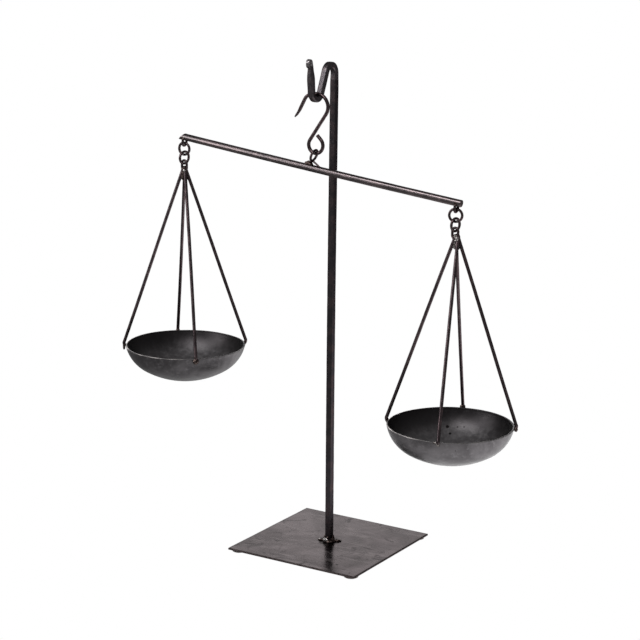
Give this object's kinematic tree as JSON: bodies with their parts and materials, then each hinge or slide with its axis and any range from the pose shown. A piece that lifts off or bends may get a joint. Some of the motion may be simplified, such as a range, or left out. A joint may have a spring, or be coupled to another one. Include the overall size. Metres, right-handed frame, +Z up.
{
  "type": "balance scale",
  "caption": "Decorative balance scale of blackened iron: a tilted beam hangs by an S-hook from a hooked post, and carries two bowl pans on rod hangers.",
  "frame": {"origin": "centre of the square base on the plane that the feet rest on", "axes": "+Z up along the post; +X along the beam towards its lower arm; -Y is the way the post's hook reaches out"},
  "size_m": [0.4352, 0.1703, 0.5037],
  "materials": {
    "bar_iron": "forged and blackened, semi-gloss, brown sheen on the edges",
    "wire_iron": "blackened wire, semi-gloss, brown and silver glints",
    "rod_iron": "blackened drawn rod, semi-gloss",
    "pan_iron": "pressed sheet iron, waxed, mottled grey, worn rim",
    "base_iron": "waxed sheet iron, streaky warm grey, dark worn edges",
    "weld_metal": "lumpy weld bead, silver grey and brown",
    "foot_pad": "matte dark brown pad"
  },
  "bodies": {
    "stand": {"base_plate": "base_iron", "foot_1": "foot_pad", "foot_2": "foot_pad", "foot_3": "foot_pad", "foot_4": "foot_pad", "post": "bar_iron", "post_weld": "weld_metal"},
    "s_hook": {"s_hook": "wire_iron"},
    "beam": {"beam": "bar_iron", "center_eye": "wire_iron", "center_eye_weld": "weld_metal", "left_end_eye": "wire_iron", "right_end_eye": "wire_iron", "left_end_weld": "weld_metal", "right_end_weld": "weld_metal"},
    "left_upper_ring": {"left_upper_ring": "wire_iron"},
    "right_upper_ring": {"right_upper_ring": "wire_iron"},
    "left_lower_ring": {"left_lower_ring": "wire_iron"},
    "right_lower_ring": {"right_lower_ring": "wire_iron"},
    "left_pan": {"left_top_loop": "wire_iron", "left_hanger_weld": "weld_metal", "left_rod_1": "rod_iron", "left_rod_2": "rod_iron", "left_rod_3": "rod_iron", "left_rod_4": "rod_iron", "left_pan": "pan_iron", "left_rim_welds": "weld_metal"},
    "right_pan": {"right_top_loop": "wire_iron", "right_hanger_weld": "weld_metal", "right_rod_1": "rod_iron", "right_rod_2": "rod_iron", "right_rod_3": "rod_iron", "right_rod_4": "rod_iron", "right_pan": "pan_iron", "right_rim_welds": "weld_metal"}
  },
  "joints": [
    {"name": "s_hook_swing", "type": "hinge", "parent": "stand", "child": "s_hook", "pos_m": [0, -0.0332, 0.4692], "axis": [1, 0, 0], "range_deg": [-35, 18]},
    {"name": "beam_tilt", "type": "hinge", "parent": "s_hook", "child": "beam", "pos_m": [0, -0.0332, 0.41435], "axis": [0, 1, 0], "range_deg": [-22, 18]},
    {"name": "left_upper_ring_swing", "type": "hinge", "parent": "beam", "child": "left_upper_ring", "pos_m": [-0.15661, -0.0332, 0.40463], "axis": [0, -1, 0], "range_deg": [-28, 28]},
    {"name": "right_upper_ring_swing", "type": "hinge", "parent": "beam", "child": "right_upper_ring", "pos_m": [0.15499, -0.0332, 0.37022], "axis": [0.2419, -0.9703, 0], "range_deg": [-28, 28]},
    {"name": "left_lower_ring_swing", "type": "hinge", "parent": "left_upper_ring", "child": "left_lower_ring", "pos_m": [-0.15661, -0.0332, 0.39543], "axis": [0.9781, -0.2079, 0], "range_deg": [-28, 28]},
    {"name": "right_lower_ring_swing", "type": "hinge", "parent": "right_upper_ring", "child": "right_lower_ring", "pos_m": [0.15499, -0.0332, 0.36102], "axis": [0.9781, -0.2079, 0], "range_deg": [-28, 28]},
    {"name": "left_pan_swing", "type": "hinge", "parent": "left_lower_ring", "child": "left_pan", "pos_m": [-0.15661, -0.0332, 0.38653], "axis": [0.2079, 0.9781, 0], "range_deg": [-25, 25]},
    {"name": "right_pan_swing", "type": "hinge", "parent": "right_lower_ring", "child": "right_pan", "pos_m": [0.15499, -0.0332, 0.35212], "axis": [-0.2079, -0.9781, 0], "range_deg": [-25, 25]}
  ]
}
